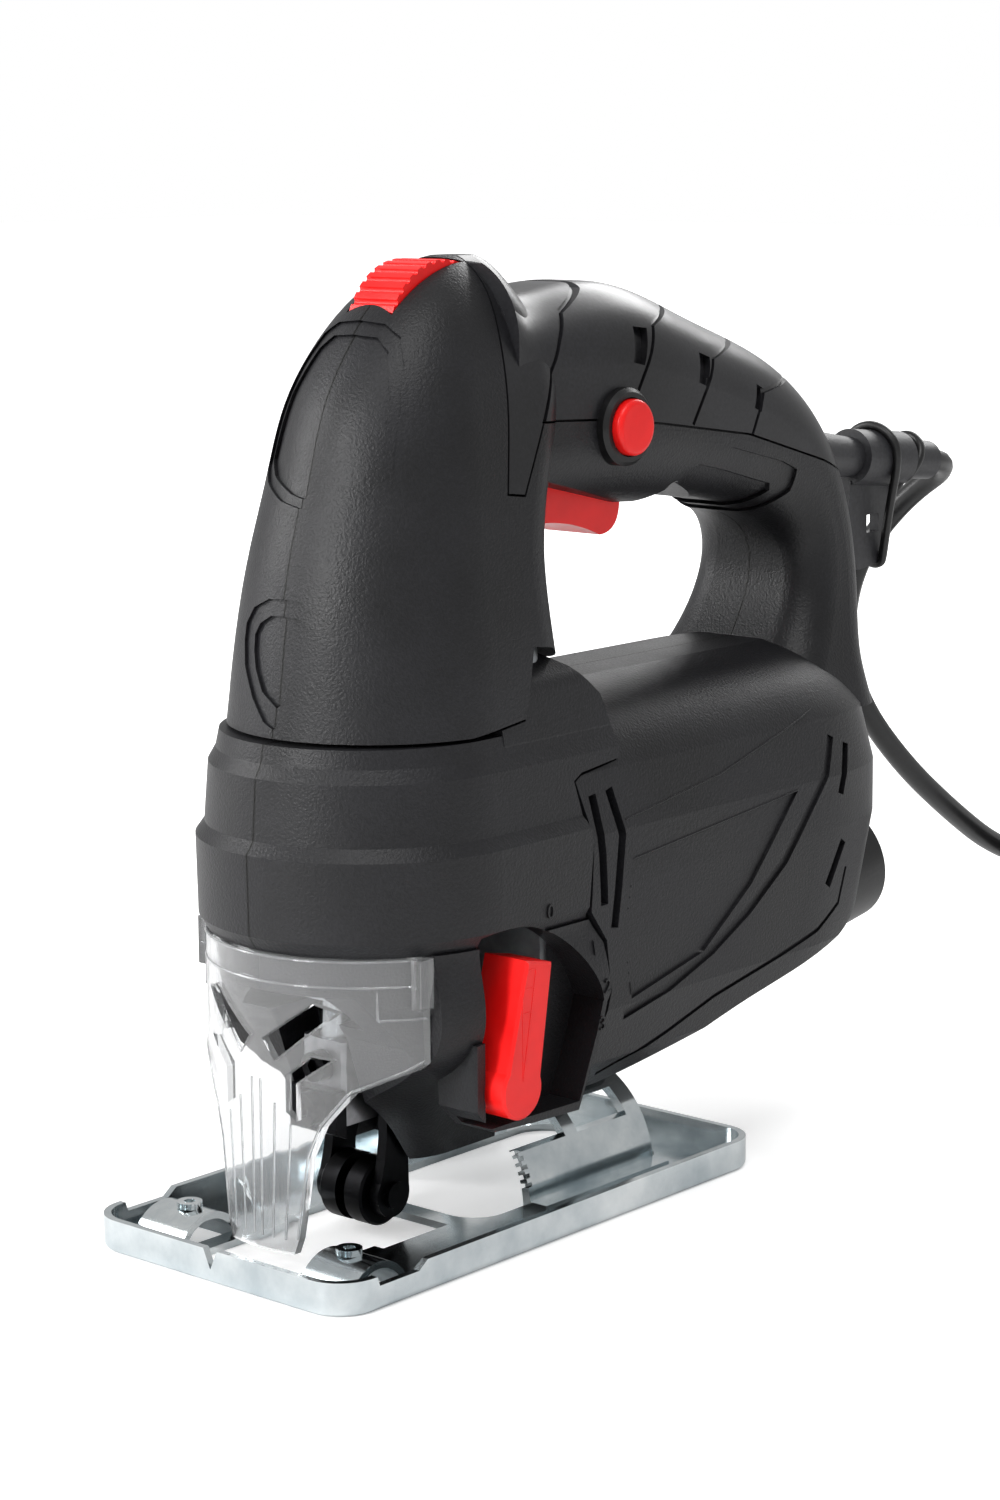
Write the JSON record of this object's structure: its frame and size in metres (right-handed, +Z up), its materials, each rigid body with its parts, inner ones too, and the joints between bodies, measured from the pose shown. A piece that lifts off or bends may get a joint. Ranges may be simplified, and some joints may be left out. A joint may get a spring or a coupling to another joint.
{
  "type": "jigsaw",
  "caption": "Corded jigsaw with a D handle, rocker trigger, orbital blade guide, clear chip guard, dust port and a tilting stamped steel shoe.",
  "frame": {"origin": "the plunger's axis where it meets the sole of the shoe", "axes": "+X the cutting direction, +Y the tool's left, +Z up from the sole"},
  "size_m": [0.5413, 0.096, 0.203],
  "materials": {
    "charcoal_shell": "fine-textured moulded charcoal plastic",
    "grip_shell": "smooth satin charcoal plastic",
    "black_plastic": "satin black plastic",
    "red_plastic": "bright red plastic",
    "clear_plastic": "clear polycarbonate",
    "black_rubber": "matt black rubber",
    "cord_jacket": "satin black cord jacket",
    "zinc_steel": "zinc-plated stamped steel",
    "dark_steel": "blackened steel",
    "satin_steel": "satin steel",
    "bearing_steel": "ground steel",
    "lamination": "stacked laminations",
    "copper": "copper",
    "brass_part": "brass",
    "nickel_brass": "nickel-plated brass",
    "bronze": "sintered bronze",
    "carbon": "carbon",
    "cast_aluminium": "die-cast aluminium"
  },
  "bodies": {
    "root": {"housing_left": "charcoal_shell", "housing_right": "charcoal_shell", "front_cover_left": "charcoal_shell", "front_cover_right": "charcoal_shell", "grip_cover": "grip_shell", "housing_screws": "dark_steel", "stator_core": "lamination", "field_coils": "copper", "front_bearing": "bearing_steel", "rear_bearing": "bearing_steel", "brush_holders": "brass_part", "carbon_brushes": "carbon", "gear_case": "cast_aluminium", "plunger_bushes": "bronze", "gear_axle": "bearing_steel", "switch_body": "black_plastic", "speed_module": "black_plastic", "cord_sleeve": "black_rubber", "key_strap": "black_rubber", "fork_pin": "bearing_steel", "dust_port": "black_plastic", "button_bezel": "black_plastic", "tilt_clamp": "zinc_steel", "supply_cord": "cord_jacket", "cord_tail": "cord_jacket", "cord_coil": "cord_jacket", "plug_body": "black_rubber", "plug_pins": "nickel_brass"},
    "armature": {"armature_shaft": "bearing_steel", "armature_core": "lamination", "commutator": "copper", "cooling_fan": "black_plastic"},
    "crank": {"crank_gear": "bearing_steel"},
    "plunger": {"plunger": "bearing_steel", "clamp_block": "satin_steel", "clamp_plate": "dark_steel", "clamp_screws": "dark_steel"},
    "fork": {"roller_fork": "dark_steel", "roller_pin": "dark_steel"},
    "roller": {"guide_roller": "dark_steel"},
    "orbit_lever": {"orbit_lever": "red_plastic", "lever_shaft": "black_plastic"},
    "trigger": {"trigger": "red_plastic"},
    "lock_button": {"lock_button": "red_plastic"},
    "speed_dial": {"speed_dial": "red_plastic"},
    "guard": {"blade_guard": "clear_plastic"},
    "shoe": {"shoe_plate": "zinc_steel", "tilt_cradle": "zinc_steel", "fence_screws": "zinc_steel"}
  },
  "joints": [
    {"name": "crank_spin", "type": "hinge", "parent": "root", "child": "crank", "pos_m": [0, 0, 0.10025], "axis": [1, 0, 0], "continuous": true},
    {"name": "armature_spin", "type": "hinge", "parent": "root", "child": "armature", "pos_m": [0, 0, 0.077], "axis": [1, 0, 0], "continuous": true},
    {"name": "blade_stroke", "type": "slide", "parent": "root", "child": "plunger", "axis": [0, 0, 1], "range_m": [-0.009, 0.009]},
    {"name": "guide_swing", "type": "hinge", "parent": "root", "child": "fork", "pos_m": [-0.014, 0, 0.045], "axis": [0, -1, 0], "range_deg": [0, 3.2]},
    {"name": "guide_roller_spin", "type": "hinge", "parent": "fork", "child": "roller", "pos_m": [-0.006, 0, 0.0094], "axis": [0, 1, 0], "continuous": true},
    {"name": "orbit_select", "type": "hinge", "parent": "root", "child": "orbit_lever", "pos_m": [-0.0115, 0.034, 0.0365], "axis": [0, -1, 0], "range_deg": [0, 58]},
    {"name": "trigger_pull", "type": "slide", "parent": "root", "child": "trigger", "axis": [0, 0, 1], "range_m": [0, 0.005], "stiffness_N_per_m": 300, "springref_m": -0.002},
    {"name": "lock_press", "type": "slide", "parent": "root", "child": "lock_button", "axis": [0, -1, 0], "range_m": [0, 0.0035], "stiffness_N_per_m": 200, "springref_m": -0.001},
    {"name": "speed_turn", "type": "hinge", "parent": "root", "child": "speed_dial", "pos_m": [-0.027, 0, 0.186], "axis": [0, 1, 0], "range_deg": [-140, 140]},
    {"name": "guard_unclip", "type": "slide", "parent": "root", "child": "guard", "axis": [1, 0, 0], "range_m": [0, 0.007]},
    {"name": "shoe_tilt", "type": "hinge", "parent": "root", "child": "shoe", "pos_m": [-0.055, 0, 0.0016], "axis": [1, 0, 0], "range_deg": [-30, 30]}
  ],
  "couplings": [
    {"joint": "armature_spin", "follows": "crank_spin", "ratio": -6.75}
  ]
}
